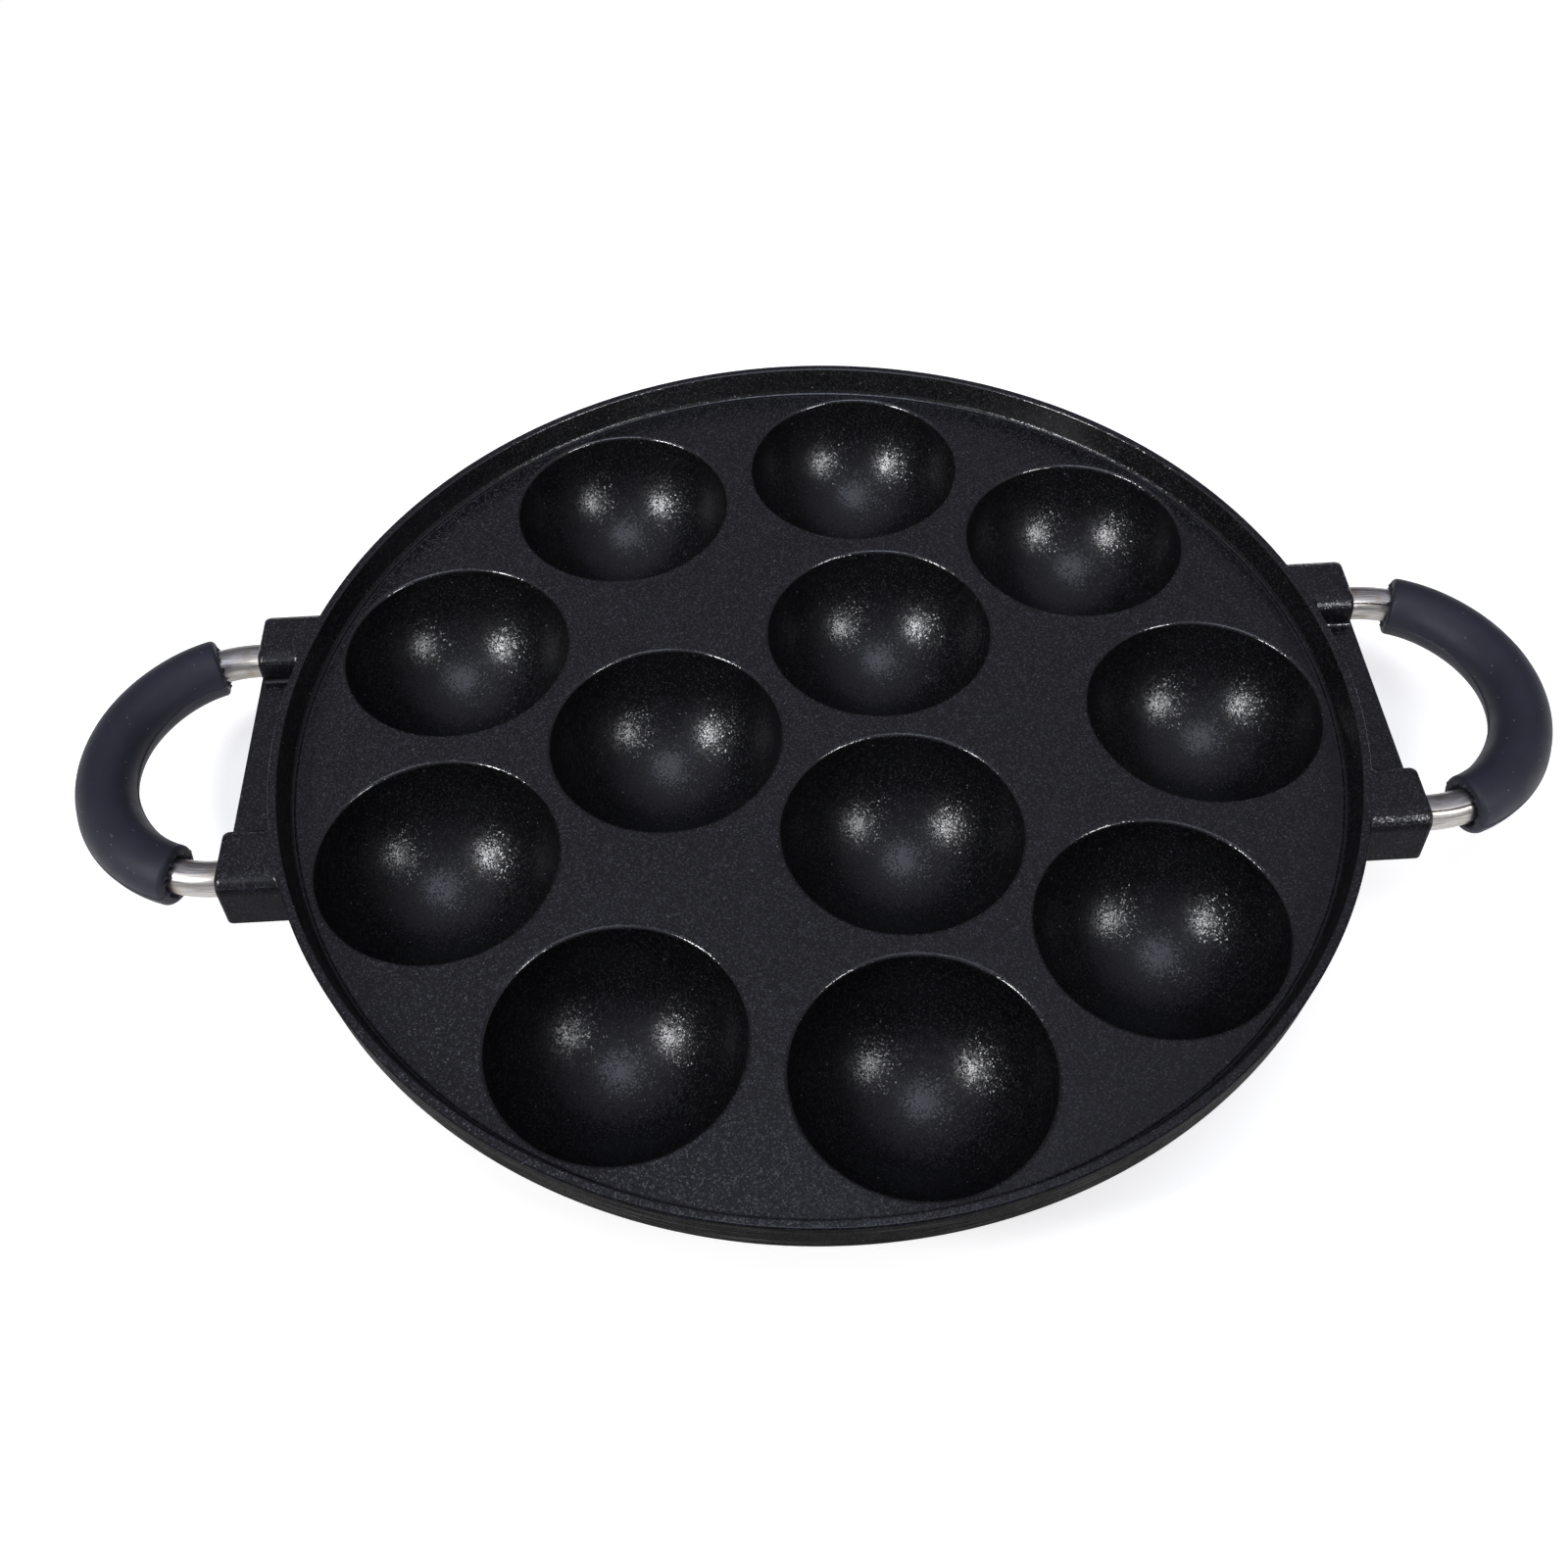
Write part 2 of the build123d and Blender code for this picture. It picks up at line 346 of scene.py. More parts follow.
def lugOutline(z):
    # plan of the rear lug on the right at one height, with its hollows against the rim wall
    middle = tubes["halfSpacing"]
    lowIn = roundIn(-z, -lugUnderZ, lugs["lowEdge"])
    halfWidth = lugs["halfWidth"] + (rimZ - z) * tan(lugs["sideDraft"])
    halfWidth = halfWidth - roundIn(z, rimZ, lugs["longEdge"]) - lowIn
    endX = lugFace(z) - roundIn(z, rimZ, lugs["endEdge"]) - lowIn
    sides = []
    for side in (1, -1):
        sideY = middle + side * halfWidth
        flare = rootFlare(z, sideY, side) if z >= plateUnderZ else heelFlare(z, sideY)
        corners = [(endX - lugs["halfWidth"], sideY), (endX, sideY), (endX, middle)]
        corner = roundedPath(corners, [0, lugs["endEdge"], 0], lugs["edgeSteps"])[1:-1]
        sides.append(flare + corner)
    return sides[0] + sides[1][::-1]


def lugLevels():
    # the heights of the lugs' plans, close together where an edge is rounded
    rises = [1 - cos(turn) for turn in spread(0, pi / 2, lugs["edgeSteps"])]
    levels = {plateUnderZ - 0.01 * mm, plateUnderZ}
    levels |= {lugUnderZ + lugs["lowEdge"] * rise for rise in rises}
    levels |= {plateUnderZ + casting["lowerEdge"] * rise for rise in rises[1:]}
    for radius, steps in (
        (lugs["longEdge"], lugs["longEdgeSteps"]),
        (lugs["endEdge"], lugs["edgeSteps"]),
        (casting["landEdge"], lugs["landSteps"]),
    ):
        levels |= {rimZ - radius * (1 - sin(turn)) for turn in spread(0, pi / 2, steps)}
    return sorted(levels)


def lugGroup():
    # four lugs, each lofted through its plans from the underside up to the rim's top
    bm = bmesh.new()
    loops = []
    for z in lugLevels():
        points = [bm.verts.new((*spot, z)) for spot in lugOutline(z)]
        loops.append([bm.edges.new(pair) for pair in zip(points, points[1:] + points[:1])])
    for lower, upper in zip(loops, loops[1:]):
        bmesh.ops.bridge_loops(bm, edges=lower + upper)
    bmesh.ops.holes_fill(bm, edges=openEdges(bm))
    mirrorAll(bm, "YX")
    return toObject(bm, "lugs")


def webGroup():
    lowZ = plateZ - lugs["webDrop"]
    startX = wallRadius(plateZ) - casting["land"] - casting["lean"]
    halfSpan = tubes["halfSpacing"] - lugs["longEdge"]
    outline = [(startX, lowZ), (lugFace(lowZ), lowZ), (lugFace(plateZ), plateZ), (startX, plateZ)]
    bm = bmesh.new()
    extrudeSection(bm, [(x, -halfSpan, z) for x, z in outline], (0, 2 * halfSpan, 0))
    mirrorAll(bm, "X")
    return toObject(bm, "webs")


def hollowSection(across, wallSlope):
    # section of a small hollow between the web's top and a wall that leans back by this angle
    root, overlap = lugs["root"], 0.4 * mm
    reach = root / tan((pi / 2 + wallSlope) / 2)
    wallTop = (across - reach * sin(-wallSlope), plateZ + reach * cos(wallSlope))
    corners = [
        (across - overlap, plateZ - overlap),
        (across + reach, plateZ - overlap),
        (across + reach, plateZ),
        (across, plateZ),
        wallTop,
        (across - overlap, wallTop[1]),
    ]
    return roundedPath(corners, [0, 0, 0, root, 0, 0])


def wallHollows():
    path = hollowSection(wallRadius(plateZ), -casting["draft"])
    halfTurn = atan2(tubes["halfSpacing"] - lugs["halfWidth"] / 2, casting["radius"])
    bm = bmesh.new()
    spinPath(bm, path + path[:1], lugs["hollowSides"], angle=2 * halfTurn)
    bmesh.ops.rotate(bm, verts=bm.verts, matrix=Matrix.Rotation(-halfTurn, 3, "Z"))
    weld(bm)
    bmesh.ops.holes_fill(bm, edges=openEdges(bm))
    mirrorAll(bm, "X")
    return toObject(bm, "wallHollows")


def lugHollows():
    sideY = tubes["halfSpacing"] - lugs["halfWidth"] - casting["rimHeight"] * tan(lugs["sideDraft"])
    startX = casting["radius"] - 2 * casting["land"]
    path = hollowSection(-sideY, -lugs["sideDraft"])
    length = lugFace(plateZ) - lugs["endEdge"] / 2 - startX
    bm = bmesh.new()
    extrudeSection(bm, [(startX, y, z) for y, z in path], (length, 0, 0))
    mirrorAll(bm, "YX")
    return toObject(bm, "lugHollows")


def holeGroup(name, radius, length, centre, turn, sides):
    # round holes in all four lugs
    bm = bmesh.new()
    bmesh.ops.create_cone(
        bm, cap_ends=True, segments=sides, radius1=radius, radius2=radius, depth=length,
        matrix=Matrix.Translation(centre) @ turn,
    )
    mirrorAll(bm, "YX")
    return toObject(bm, name)


def tubeBores():
    deep = lugFace(tubeZ) - tubes["boreDepth"]
    length = tubes["boreDepth"] + 10 * mm           # runs on beyond the lug's end
    centre = (deep + length / 2, tubes["halfSpacing"], tubeZ)
    turn = Matrix.Rotation(pi / 2, 4, "Y")
    return holeGroup("tubeBores", tubes["boreRadius"], length, centre, turn, tubes["sides"])


def pinHoles():
    below = 1 * mm
    length = pins["holeDepth"] + below
    x = casting["radius"] + lugs["overhang"] - pins["setback"]
    centre = (x, tubes["halfSpacing"], lugUnderZ - below + length / 2)
    turn = Matrix.Identity(4)
    return holeGroup("pinHoles", pins["holeRadius"], length, centre, turn, pins["sides"])


def buildCasting():
    piece = blank()
    added = [lugGroup(), webGroup(), wallHollows(), lugHollows()]
    added.append(cupGroup(ringPlaces(wells["outerRing"])))
    added += [cupGroup([place]) for place in ringPlaces(wells["innerRing"])]
    for tool in added:
        combine(piece, tool, "UNION")
    for tool in (cavity(), tubeBores(), pinHoles()):
        combine(piece, tool, "DIFFERENCE")
    finishShading(piece, casting["crease"])
    return piece


def handleArcs():
    # the axis beyond the lead: centre, radius, first angle and swept angle of each arc
    corner, turn = tubes["cornerRadius"], tubes["cornerTurn"]
    cornerX = lugFace(tubeZ) + tubes["lead"]
    cornerY = tubes["halfSpacing"] - corner
    bendEnd = Vector((cornerX + corner * sin(turn), cornerY + corner * cos(turn)))
    wide = bendEnd.y / cos(turn)
    return [
        (Vector((cornerX, cornerY)), corner, pi / 2, turn),
        (Vector((bendEnd.x - wide * sin(turn), 0)), wide, pi / 2 - turn, pi - 2 * turn),
        (Vector((cornerX, -cornerY)), corner, turn - pi / 2, turn),
    ]


def handleLength():
    return 2 * tubes["lead"] + sum(radius * sweep for centre, radius, first, sweep in handleArcs())


def handlePlace(distance):
    # the right handle's axis this far from the rear lug: x points out of the loop, z along it
    lugX, lead = lugFace(tubeZ), tubes["lead"]
    run = distance - lead
    if run <= 0:
        spot, outward = Vector((lugX + distance, tubes["halfSpacing"])), Vector((0, 1))
    else:
        for centre, radius, first, sweep in handleArcs():
            if run <= radius * sweep:
                angle = first - run / radius
                outward = Vector((cos(angle), sin(angle)))
                spot = centre + radius * outward
                break
            run -= radius * sweep
        else:
            past = distance - (handleLength() - lead)
            spot, outward = Vector((lugX + lead - past, -tubes["halfSpacing"])), Vector((0, -1))
    x, y = outward.to_3d(), Vector((0, 0, 1))
    turned = Matrix((x, y, x.cross(y))).transposed().to_4x4()
    return Matrix.Translation((*spot, tubeZ)) @ turned


sleeves = {
    "radius": 7.198 * mm,
    "setback": 11.6 * mm,
    "boreRadius": 4.32 * mm,
    "edge": 1.2 * mm,
    "mouth": 0.9 * mm,
    "seam": 0.2 * mm,               # height of the mould line
    "seamHalf": 0.3 * mm,
    "flash": 0.8 * mm,              # ragged skin left round the tube at each end
    "sides": 64,
    "edgeSteps": 6,
    "bendRings": 60,
    "boreRings": 40,
    "crease": radians(20),
}


def ragged(angle, index):
    # how far the skin at a sleeve's end reaches, from 0 to about 1, in uneven tongues
    return max(0, sin(3 * angle + 1) * sin(11 * angle + index) + 0.5 * sin(23 * angle))


def raiseSeam(local, angle, radius, step, seam):
    # lifts the points on the mould line, at mid-height, and draws their neighbours up to it
    fromSeam = abs(sin(angle))
    if fromSeam < sin(step / 2):
        return local * (1 + seam / radius)
    if fromSeam < sin(step * 1.5):
        half = sleeves["seamHalf"]
        out = sqrt(radius ** 2 - half ** 2)
        return Vector((copysign(out, local.x), copysign(half, local.y), 0))
    return local


def loftRings(bm, rings, sides, seam=0, flash=None):
    # rings are distance along the handle and radius, and the last one joins the first
    straight = bm.verts.layers.float_vector.new("straight")     # the handle's own straight frame
    loops = []
    for index, (distance, radius) in enumerate(rings):
        place = handlePlace(distance)
        points = bmesh.ops.create_circle(bm, segments=sides, radius=radius, matrix=place)["verts"]
        back = place.inverted()
        for point in points:
            local = back @ point.co
            angle = atan2(local.y, local.x)
            if seam:
                local = raiseSeam(local, angle, radius, 2 * pi / sides, seam)
            local.z = ragged(angle, index) * flash[index] if flash and index in flash else 0
            point.co = place @ local
            point[straight] = (local.x, local.y, distance)
        loops.append({edge for point in points for edge in point.link_edges})
    for one, other in zip(loops, loops[1:] + loops[:1]):
        bmesh.ops.bridge_loops(bm, edges=list(one | other))


def buildSleeve():
    start, end = sleeves["setback"], handleLength() - sleeves["setback"]
    radius, bore, edge = sleeves["radius"], sleeves["boreRadius"], sleeves["edge"]
    mouth, flash = sleeves["mouth"], sleeves["flash"]
    turns = spread(0, pi / 2, sleeves["edgeSteps"])
    head = [(mouth, bore), (0, bore + mouth)]
    head += [(edge * (1 - cos(turn)), radius - edge * (1 - sin(turn))) for turn in turns]
    outside = spread(start + edge, end - edge, sleeves["bendRings"])[1:-1]
    inside = spread(end - mouth, start + mouth, sleeves["boreRings"])[1:-1]
    rings = [(start + along, size) for along, size in head]
    rings += [(along, radius) for along in outside]
    rings += [(end - along, size) for along, size in reversed(head)]
    last = len(rings) - 1
    skins = {0: -flash, 1: -flash, last - 1: flash, last: flash}
    rings += [(along, bore) for along in inside]
    bm = bmesh.new()
    loftRings(bm, rings, sleeves["sides"], sleeves["seam"], skins)
    piece = toObject(bm, "rightGrip")
    finishShading(piece, sleeves["crease"])
    return piece


def buildTube():
    lead, edge = tubes["lead"], tubes["edge"]
    inLug = tubes["boreDepth"] - tubes["boreGap"]
    start, end = -inLug, handleLength() + inLug
    radius, bore = tubes["radius"], tubes["radius"] - tubes["wall"]
    atLug = end - inLug
    along = spread(0, lead, tubes["leadRings"])
    along += spread(lead, atLug - lead, tubes["bendRings"])[1:]
    along += spread(atLug - lead, atLug, tubes["leadRings"])[1:]
    rings = [(start, bore), (start, radius - edge), (start + edge, radius)]
    rings += [(distance, radius) for distance in along]
    rings += [(end - edge, radius), (end, radius - edge), (end, bore)]
    rings += [(distance, bore) for distance in reversed(along)]
    bm = bmesh.new()
    loftRings(bm, rings, tubes["sides"])
    piece = toObject(bm, "rightHandleTube")
    finishShading(piece, tubes["crease"])
    return piece


def mirrored(name, piece):
    twin = piece.copy()
    twin.data = piece.data.copy()
    twin.name = name
    twin.data.transform(Matrix.Rotation(pi, 4, "Z"))
    bpy.context.scene.collection.objects.link(twin)
    return twin


def addNode(tree, kind, inputs=(), **settings):
    # each input is another node's output, which is linked, or a constant
    node = tree.nodes.new(kind)
    for key, value in settings.items():
        setattr(node, key, value)
    for key, value in dict(inputs).items():
        if isinstance(value, bpy.types.NodeSocket):
            tree.links.new(value, node.inputs[key])
        else:
            node.inputs[key].default_value = value
    return node


def reckon(tree, operation, *values, clamp=False):
    inputs = dict(enumerate(values))
    return addNode(tree, "ShaderNodeMath", inputs, operation=operation, use_clamp=clamp).outputs[0]


def remap(tree, value, fromLow, fromHigh, toLow, toHigh, curve="LINEAR"):
    inputs = {0: value, 1: fromLow, 2: fromHigh, 3: toLow, 4: toHigh}
    return addNode(tree, "ShaderNodeMapRange", inputs, interpolation_type=curve).outputs[0]


def reckonVector(tree, operation, inputs):
    return addNode(tree, "ShaderNodeVectorMath", inputs, operation=operation).outputs[0]


def mixColour(tree, share, one, other):
    inputs = {0: share, 6: one, 7: other}
    return addNode(tree, "ShaderNodeMix", inputs, data_type="RGBA").outputs[2]


def newGroup(name, values, outputs):
    # a node group that takes a place and some values
    tree = bpy.data.node_groups.new(name, "ShaderNodeTree")
    tree.interface.new_socket("Vector", in_out="INPUT", socket_type="NodeSocketVector")
    for label in values:
        tree.interface.new_socket(label, in_out="INPUT", socket_type="NodeSocketFloat")
    for label, kind in outputs.items():
        tree.interface.new_socket(label, in_out="OUTPUT", socket_type=kind)
    given = tree.nodes.new("NodeGroupInput").outputs
    return tree, given, tree.nodes.new("NodeGroupOutput").inputs


def cellsOf(tree, given):
    inputs = {"Vector": given["Vector"], "Scale": reckon(tree, "DIVIDE", 1.0, given["Pitch"])}
    return addNode(tree, "ShaderNodeTexVoronoi", inputs).outputs


def specksGroup():
    # round specks in a chosen share of the cells, as a mask
    tree, given, result = newGroup("specks", ["Pitch", "Share"], {"Mask": "NodeSocketFloat"})
    rim, core = 0.5, 0.3            # a speck's radius and that of its full part, in pitches
    cells = cellsOf(tree, given)
    chance = addNode(tree, "ShaderNodeSeparateColor", {"Color": cells["Color"]}).outputs[0]
    chosen = reckon(tree, "LESS_THAN", chance, given["Share"])
    dot = remap(tree, cells["Distance"], rim, core, 0.0, 1.0, "SMOOTHSTEP")
    tree.links.new(reckon(tree, "MULTIPLY", chosen, dot), result["Mask"])
    return tree


def facetsGroup():
    # a surface of tiny facets, each of which leans its own way, and a painted glint: a share per
    # facet of a lighter colour that stands in for sparkle
    tree, given, result = newGroup(
        "facets", ["Pitch", "Lean"], {"Normal": "NodeSocketVector", "PaintedGlint": "NodeSocketFloat"}
    )
    rarity = 5.0                    # power that leaves only few facets with a bright tone
    cell = cellsOf(tree, given)["Position"]
    chance = addNode(tree, "ShaderNodeTexWhiteNoise", {"Vector": cell}).outputs
    centred = reckonVector(tree, "SUBTRACT", {0: chance["Color"], 1: (0.5, 0.5, 0.5)})
    share = reckon(tree, "MULTIPLY", chance["Value"], given["Lean"])
    lean = reckonVector(tree, "SCALE", {0: centred, "Scale": share})
    surface = addNode(tree, "ShaderNodeNewGeometry").outputs["Normal"]
    leaning = reckonVector(tree, "ADD", {0: surface, 1: lean})
    tree.links.new(reckonVector(tree, "NORMALIZE", {0: leaning}), result["Normal"])
    # painted glint: few facets get a large share, so the sparkle is painted into the colour
    tree.links.new(reckon(tree, "POWER", chance["Value"], rarity), result["PaintedGlint"])
    return tree


def varyGroup():
    # a value that drifts between two limits in soft patches
    tree, given, result = newGroup("vary", ["Size", "Low", "High"], {"Value": "NodeSocketFloat"})
    dark, bright = 0.3, 0.7         # the noise seldom leaves this range
    inputs = {"Vector": given["Vector"], "Scale": reckon(tree, "DIVIDE", 1.0, given["Size"])}
    noise = addNode(tree, "ShaderNodeTexNoise", {**inputs, "Detail": 4.0}).outputs[0]
    value = remap(tree, noise, dark, bright, given["Low"], given["High"])
    tree.links.new(value, result["Value"])
    return tree


def grainGroup():
    # fine tooth of a moulded surface on slow waves, as a height
    tree, given, result = newGroup("grain", ["Size", "Waviness"], {"Height": "NodeSocketFloat"})
    waveScale = 0.12                # of the tooth's own scale
    scale = reckon(tree, "DIVIDE", 1.0, given["Size"])
    coarse = reckon(tree, "MULTIPLY", scale, waveScale)
    inputs = {"Vector": given["Vector"]}
    fine = addNode(tree, "ShaderNodeTexNoise", {**inputs, "Scale": scale, "Detail": 2.0})
    slow = addNode(tree, "ShaderNodeTexNoise", {**inputs, "Scale": coarse, "Detail": 1.0})
    wave = reckon(tree, "MULTIPLY", slow.outputs[0], given["Waviness"])
    tree.links.new(reckon(tree, "ADD", fine.outputs[0], wave), result["Height"])
    return tree


groups = {
    "specks": specksGroup(), "facets": facetsGroup(), "vary": varyGroup(), "grain": grainGroup(),
}


def useGroup(tree, name, inputs):
    return addNode(tree, "ShaderNodeGroup", inputs, node_tree=groups[name]).outputs


def vary(tree, place, patches):
    # patches are their size, lowest and highest value
    size, low, high = patches
    inputs = {"Vector": place, "Size": size, "Low": low, "High": high}
    return useGroup(tree, "vary", inputs)["Value"]


def specks(tree, place, pitch, share):
    return useGroup(tree, "specks", {"Vector": place, "Pitch": pitch, "Share": share})["Mask"]


def newMaterial(name):
    material = bpy.data.materials.new(name)
    material.use_nodes = True
    tree = material.node_tree
    return material, tree, tree.nodes["Principled BSDF"]


def objectPlace(tree):
    return addNode(tree, "ShaderNodeTexCoord").outputs["Object"]


def stretched(tree, place, scale):
    return addNode(tree, "ShaderNodeMapping", {"Vector": place, "Scale": scale}).outputs[0]


def patched(tree, place, look):
    # a ground colour that drifts between dark and light
    return mixColour(tree, vary(tree, place, look["patches"]), look["dark"], look["light"])


coating = {
    "dark": (0.0018, 0.0018, 0.0022, 1),
    "light": (0.0030, 0.0030, 0.0038, 1),
    "patches": (12 * mm, 0.0, 1.0),
    "fleck": (0.08, 0.08, 0.085, 1),
    "fleckPitch": 0.55 * mm,
    "fleckShare": 0.003,
    "facetPitch": 0.33 * mm,
    "roughPatch": 3 * mm,
    "streak": (0.10, 0.095, 0.087, 1),
    "streakHeight": 0.22 * mm,
    "streakLength": 30 * mm,
    "streakRange": (-2.0, 1.7),     # mostly below 0, so that the streaks stay apart
    "worn": (25 * mm, 0.3, 1.4),
}
# paintedGlint is a lighter colour painted into the base colour on chosen facets as painted sparkle:
# strongest on the plate, weaker in the wells, which catch less light, and bluish on the matt sides
# as a painted tint of the light there
finishes = {
    "plateCoating": {
        "rough": (0.23, 0.27), "ior": 1.42, "lean": 0.36, "paintedGlint": (0.036, 0.036, 0.042, 1),
    },
    "wellCoating": {
        "rough": (0.23, 0.27), "ior": 1.42, "lean": 0.36, "paintedGlint": (0.018, 0.018, 0.019, 1),
    },
    "mattCoating": {
        "rough": (0.5, 0.6), "ior": 1.18, "lean": 0.3, "paintedGlint": (0.020, 0.019, 0.030, 1),
    },
    "turnedCoating": {
        "rough": (0.5, 0.6), "ior": 1.06, "lean": 0.3, "paintedGlint": (0.008, 0.008, 0.008, 1),
        "streaked": True,
    },
    "smoothEdge": {
        "rough": (0.14, 0.20), "ior": 1.7, "lean": 0.26, "paintedGlint": (0.010, 0.010, 0.011, 1),
    },
}


def turnedStreaks(tree, place):
    # long thin marks round the outer wall, worn away in patches
    height = coating["streakHeight"]
    along = height / coating["streakLength"]
    drawn = stretched(tree, place, (along, along, 1))
    streaks = vary(tree, drawn, (height, *coating["streakRange"]))
    return reckon(tree, "MULTIPLY", streaks, vary(tree, place, coating["worn"]), clamp=True)


def coatingMaterial(name, finish):
    material, tree, shader = newMaterial(name)
    place = objectPlace(tree)
    colour = patched(tree, place, coating)
    if "streaked" in finish:
        colour = mixColour(tree, turnedStreaks(tree, place), colour, coating["streak"])
    inputs = {"Vector": place, "Pitch": coating["facetPitch"], "Lean": finish["lean"]}
    facets = useGroup(tree, "facets", inputs)
    # painted glints: each facet's share of the finish's lighter colour is mixed in, standing in for
    # sparkle under the lamps
    colour = mixColour(tree, facets["PaintedGlint"], colour, finish["paintedGlint"])
    flecks = specks(tree, place, coating["fleckPitch"], coating["fleckShare"])
    colour = mixColour(tree, flecks, colour, coating["fleck"])
    roughness = vary(tree, place, (coating["roughPatch"], *finish["rough"]))
    tree.links.new(colour, shader.inputs["Base Color"])
    tree.links.new(roughness, shader.inputs["Roughness"])
    tree.links.new(facets["Normal"], shader.inputs["Normal"])
    shader.inputs["IOR"].default_value = finish["ior"]
    return material


# limits of a face's normal that part the finishes, its z where nothing else is said
tilts = {
    "rimFoot": (0.77, 0.95),
    "rimFootSmooth": 0.82,          # the steep part of the rim's foot is smooth, the rest matt
    "landEdge": (0.4, 0.9),
    "wellEdge": (0.5, 0.9),
    "hollow": (0.1, 0.98),
    "hollowSmooth": (0.45, 0.9),
    "turned": 0.1,
    "innerWall": 0.7,
    "outerEdge": 0.96,
    "lugSide": 0.45,
    "lugRearEdge": 0.85,
    "underside": -0.01,
    "rearward": 0.3,                # the normal's y of a face that looks to the rear
}


def within(up, limits):
    low, high = tilts[limits]
    return low < up < high


def atWellMouth(spot):
    fromWell = min((spot - Vector(place)).length for place in wellPlaces)
    return abs(fromWell - wells["mouthRadius"]) < wells["edge"]


def isSmoothEdge(centre, out, up):
    # rounded edges at the top of the inner wall and round the wells' mouths
    edge = casting["landEdge"]
    if centre.z > rimZ - edge and abs(out - landInner) < edge:
        return within(up, "landEdge")
    inMouth = plateZ - wells["edge"] < centre.z < plateZ
    return inMouth and within(up, "wellEdge") and atWellMouth(centre.xy)


def isMatt(out, normal, clearOfLugs, beyond):
    # sides and undersides, and the outer edge of the land
    up = normal.z
    if clearOfLugs and out > casting["radius"] - casting["landEdge"] and up < tilts["outerEdge"]:
        return True
    if not beyond:
        return up < tilts["underside"]
    # a smooth edge that looks to the rear would mirror the floor as a bright line
    rearEdge = up < tilts["lugRearEdge"] and normal.y > tilts["rearward"]
    return up < tilts["lugSide"] or rearEdge


def finishOf(face):
    # which finish a face of the casting has, by where it lies and which way it looks
    centre, normal, near = face.center, face.normal, 0.1 * mm
    up, out, height = normal.z, centre.xy.length, centre.z - plateZ
    onRimSide = wallFoot - casting["rimRoot"] < out < landInner
    if onRimSide and 0 < height < casting["rimRoot"] and within(up, "rimFoot"):
        return "smoothEdge" if up < tilts["rimFootSmooth"] else "mattCoating"
    if isSmoothEdge(centre, out, up):
        return "smoothEdge"
    aside, root = abs(centre.y), lugs["root"]
    if out > wallRadius(plateZ) - near and 0 < height < root and within(up, "hollow"):
        atLug = aside > tubes["halfSpacing"] - lugs["halfWidth"] - 1.5 * root
        return "smoothEdge" if atLug and within(up, "hollowSmooth") else "mattCoating"
    clearOfLugs = aside >= tubes["halfSpacing"] + lugs["halfWidth"]
    onWall = abs(out - wallRadius(centre.z)) < 2 * near and centre.z > plateUnderZ
    if clearOfLugs and onWall and up < tilts["turned"]:
        return "turnedCoating"
    beyond = out > landInner + casting["land"] / 2
    if isMatt(out, normal, clearOfLugs, beyond):
        return "mattCoating"
    onInnerWall = onRimSide and height > 0 and up < tilts["innerWall"]
    inWell = height < -near and not beyond
    return "wellCoating" if onInnerWall or inWell else "plateCoating"


steelLook = {
    "dark": (0.15, 0.14, 0.125, 1),
    "light": (0.585, 0.565, 0.53, 1),
    "stain": (0.32, 0.26, 0.18, 1),
    "drawn": 0.04,                  # how much slower the marks change along the tube
    "bands": (1.1 * mm, 0.7, 1.0),
    "scratches": (0.25 * mm, 0.15, 1.3),
    "scratchDepth": 0.01 * mm,
    "scratchStrength": 0.3,
    "stains": (4 * mm, -0.9, 0.8),
    "rough": (0.3 * mm, 0.3, 0.46),
    "weld": (0.02, 0.012, 0.01, 1),
    "weldAngles": (radians(135), radians(57)),      # at the rear end and the front end
    "weldWidth": 0.36 * mm,
    "weldBreaks": (1.2 * mm, 0.4, 2.0),
}


def weldMask(tree, place):
    # the weld line: its angle round the tube, from outwards to up, changes halfway along
    parts = addNode(tree, "ShaderNodeSeparateXYZ", {0: place}).outputs
    angle = reckon(tree, "ARCTAN2", parts["Y"], parts["X"])
    frontHalf = reckon(tree, "GREATER_THAN", parts["Z"], handleLength() / 2)
    weldAngle = remap(tree, frontHalf, 0.0, 1.0, *steelLook["weldAngles"])
    halfWidth = steelLook["weldWidth"] / 2 / tubes["radius"]
    onWeld = reckon(tree, "COMPARE", angle, weldAngle, halfWidth)
    breaks = vary(tree, place, steelLook["weldBreaks"])
    return reckon(tree, "MULTIPLY", onWeld, breaks, clamp=True)


def steelMaterial():
    material, tree, shader = newMaterial("drawnSteel")
    place = addNode(tree, "ShaderNodeAttribute", attribute_name="straight").outputs["Vector"]
    drawn = stretched(tree, place, (1, 1, steelLook["drawn"]))
    scratches = vary(tree, drawn, steelLook["scratches"])
    bands = vary(tree, drawn, steelLook["bands"])
    marks = reckon(tree, "MULTIPLY", bands, scratches, clamp=True)
    stains = addNode(tree, "ShaderNodeClamp", {"Value": vary(tree, place, steelLook["stains"])})
    colour = mixColour(tree, marks, steelLook["dark"], steelLook["light"])
    colour = mixColour(tree, stains.outputs[0], colour, steelLook["stain"])
    colour = mixColour(tree, weldMask(tree, place), colour, steelLook["weld"])
    strength, depth = steelLook["scratchStrength"], steelLook["scratchDepth"]
    inputs = {"Height": scratches, "Strength": strength, "Distance": depth}
    bump = addNode(tree, "ShaderNodeBump", inputs)
    tree.links.new(colour, shader.inputs["Base Color"])
    tree.links.new(vary(tree, drawn, steelLook["rough"]), shader.inputs["Roughness"])
    tree.links.new(bump.outputs[0], shader.inputs["Normal"])
    shader.inputs["Metallic"].default_value = 1.0
    return material


